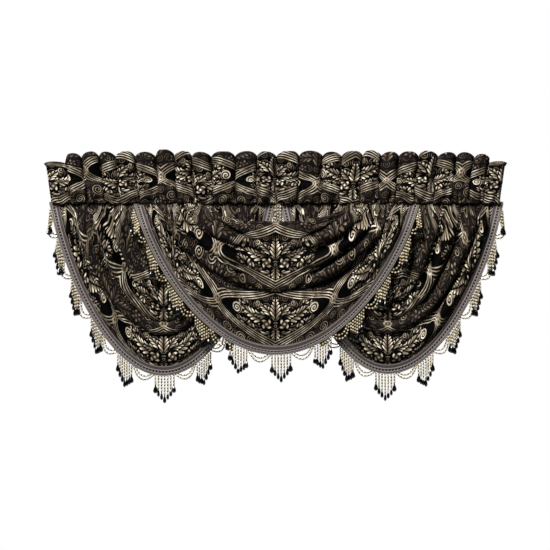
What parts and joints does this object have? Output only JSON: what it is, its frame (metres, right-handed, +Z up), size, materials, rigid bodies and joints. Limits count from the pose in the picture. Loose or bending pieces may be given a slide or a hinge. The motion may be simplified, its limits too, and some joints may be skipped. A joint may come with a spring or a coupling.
{
  "type": "waterfall valance",
  "caption": "Gathered rod-pocket valance with overlapping swags, each hem trimmed with woven braid and a fringe of bead tassels.",
  "frame": {"origin": "middle of the heading's top edge, where the valance hangs", "axes": "+X to the right seen from the front, -Y out of the front, +Z up"},
  "size_m": [1.245, 0.0983, 0.6794],
  "materials": {
    "damask": "woven jacquard with a soft sheen",
    "braid": "matte woven braid",
    "bead": "lustred seed beads",
    "jet": "polished black glass"
  },
  "bodies": {
    "root": {"heading": "damask", "swag_left": "damask", "swag_right": "damask", "swag_centre": "damask", "braid_left": "braid", "braid_right": "braid", "braid_centre": "braid", "fringe_left": "bead", "fringe_right": "bead", "fringe_centre": "bead"}
  },
  "joints": []
}
